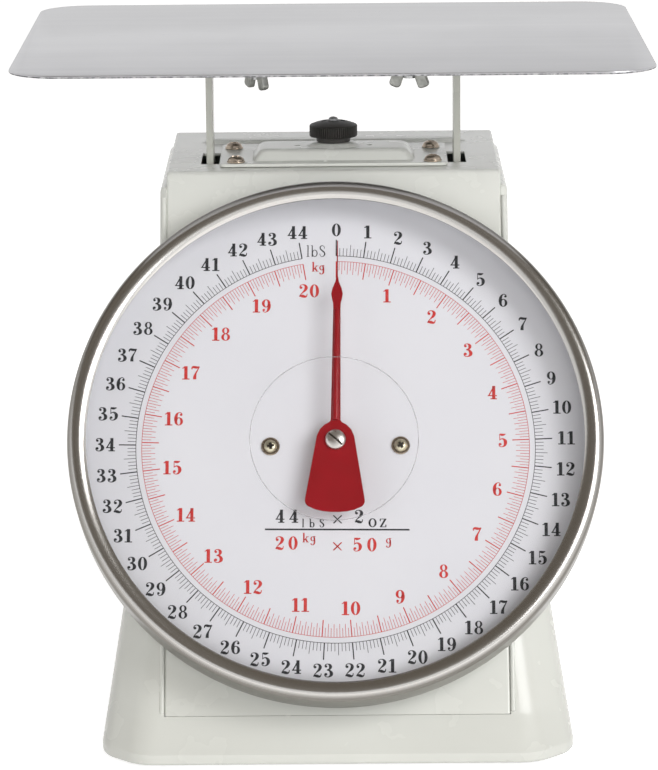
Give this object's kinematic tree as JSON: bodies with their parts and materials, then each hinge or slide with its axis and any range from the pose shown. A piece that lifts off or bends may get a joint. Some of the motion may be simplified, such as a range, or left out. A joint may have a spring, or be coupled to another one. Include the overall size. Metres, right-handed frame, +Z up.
{
  "type": "platform scale",
  "caption": "Spring platform scale: a flat steel plate on two posts above a wedge housing, with a large round dial, a red pointer and a zero knob.",
  "frame": {"origin": "centre of the bounding box in plan, at table height", "axes": "+Z up, the dial faces -Y, +X to the right of someone reading the dial"},
  "size_m": [0.265, 0.2951, 0.2736],
  "materials": {
    "cream_enamel": "glossy cream stove enamel",
    "galvanised_steel": "zinc plated, satin",
    "stainless_sheet": "fine satin stainless",
    "polished_stainless": "polished",
    "nickel_plate": "bright nickel",
    "zinc_casting": "dull zinc plate",
    "brass": "machined",
    "spring_steel": "oiled wire",
    "dial_white": "printed white enamel",
    "pointer_red": "dark red lacquer",
    "black_plastic": "black moulding",
    "black_rubber": "black rubber",
    "clear_lens": "clear flat window"
  },
  "bodies": {
    "housing": {"base_shell": "cream_enamel", "housing_cover": "cream_enamel", "bottom_plate": "galvanised_steel", "foot_front_left": "black_rubber", "foot_front_right": "black_rubber", "foot_rear_left": "black_rubber", "foot_rear_right": "black_rubber", "side_screw_left": "galvanised_steel", "side_screw_right": "galvanised_steel", "top_bracket": "cream_enamel", "bracket_screw_front_left": "nickel_plate", "bracket_screw_front_right": "nickel_plate", "bracket_screw_rear_left": "nickel_plate", "bracket_screw_rear_right": "nickel_plate", "spring_left": "spring_steel", "spring_right": "spring_steel", "link_mount": "galvanised_steel", "mount_screw_lower": "galvanised_steel", "mount_screw_upper": "galvanised_steel", "upper_link_rod": "galvanised_steel", "lower_link_rod": "galvanised_steel", "dial_pan": "galvanised_steel", "dial_plate": "dial_white", "dial_screw_left": "nickel_plate", "dial_screw_right": "nickel_plate", "bezel": "polished_stainless", "lens": "clear_lens", "lens_seal": "black_rubber", "bearing_frame": "galvanised_steel", "front_bush": "brass", "rear_bush": "brass", "rack_guide": "galvanised_steel"},
    "platform": {"platform_plate": "stainless_sheet", "platform_bracket": "cream_enamel", "plate_stud_left": "galvanised_steel", "plate_stud_right": "galvanised_steel", "upper_link_pin_left": "galvanised_steel", "upper_link_pin_right": "galvanised_steel", "lower_link_pin": "galvanised_steel", "cross_beam": "galvanised_steel", "lower_plug_left": "galvanised_steel", "lower_plug_right": "galvanised_steel"},
    "wing_nut_left": {"wing_nut_left": "zinc_casting"},
    "wing_nut_right": {"wing_nut_right": "zinc_casting"},
    "pointer": {"pointer": "pointer_red", "pointer_hub": "brass", "pointer_screw": "nickel_plate", "pointer_shaft": "nickel_plate", "pinion": "brass"},
    "rack": {"rack": "brass", "rack_pin": "galvanised_steel"},
    "upper_link": {"upper_check_link": "galvanised_steel"},
    "lower_link": {"lower_check_link": "galvanised_steel"},
    "zero_knob": {"zero_knob": "black_plastic", "zero_knob_screw": "galvanised_steel", "zero_adjuster": "galvanised_steel"},
    "hanger": {"spring_hanger": "galvanised_steel", "upper_plug_left": "galvanised_steel", "upper_plug_right": "galvanised_steel"}
  },
  "joints": [
    {"name": "platform_slide", "type": "slide", "parent": "housing", "child": "platform", "axis": [0, 0, -1], "range_m": [0, 0.01618], "stiffness_N_per_m": 12110, "springref_m": -0.002, "deforming": ["spring_left", "spring_right"]},
    {"name": "pointer_turn", "type": "hinge", "parent": "housing", "child": "pointer", "pos_m": [0, -0.08196, 0.12098], "axis": [0, 0.8829, -0.4695], "range_deg": [0, 350]},
    {"name": "rack_slide", "type": "slide", "parent": "housing", "child": "rack", "axis": [0, -0.4695, -0.8829], "range_m": [0, 0.01833]},
    {"name": "upper_link_hinge", "type": "hinge", "parent": "housing", "child": "upper_link", "pos_m": [0, 0.07247, 0.17491], "axis": [1, 0, 0], "range_deg": [0, 15.5]},
    {"name": "lower_link_hinge", "type": "hinge", "parent": "housing", "child": "lower_link", "pos_m": [0, 0.07247, 0.07591], "axis": [1, 0, 0], "range_deg": [0, 15.5]},
    {"name": "zero_knob_turn", "type": "hinge", "parent": "housing", "child": "zero_knob", "pos_m": [0, 0.01274, 0.2364], "axis": [0, 0, 1], "range_deg": [-540, 540]},
    {"name": "hanger_lift", "type": "slide", "parent": "housing", "child": "hanger", "axis": [0, 0, 1], "range_m": [-0.0015, 0.0015]},
    {"name": "wing_nut_left_turn", "type": "hinge", "parent": "platform", "child": "wing_nut_left", "pos_m": [-0.0325, 0.01274, 0.2666], "axis": [0, 0, 1], "range_deg": [0, 720]},
    {"name": "wing_nut_right_turn", "type": "hinge", "parent": "platform", "child": "wing_nut_right", "pos_m": [0.0325, 0.01274, 0.2666], "axis": [0, 0, 1], "range_deg": [0, 720]}
  ],
  "couplings": [
    {"joint": "pointer_turn", "follows": "platform_slide", "rad_per_m": 377.52},
    {"joint": "rack_slide", "follows": "platform_slide", "ratio": 1.1326},
    {"joint": "upper_link_hinge", "follows": "platform_slide", "rad_per_m": 16.718},
    {"joint": "lower_link_hinge", "follows": "platform_slide", "rad_per_m": 16.718},
    {"joint": "zero_knob_turn", "follows": "hanger_lift", "rad_per_m": -6283}
  ]
}
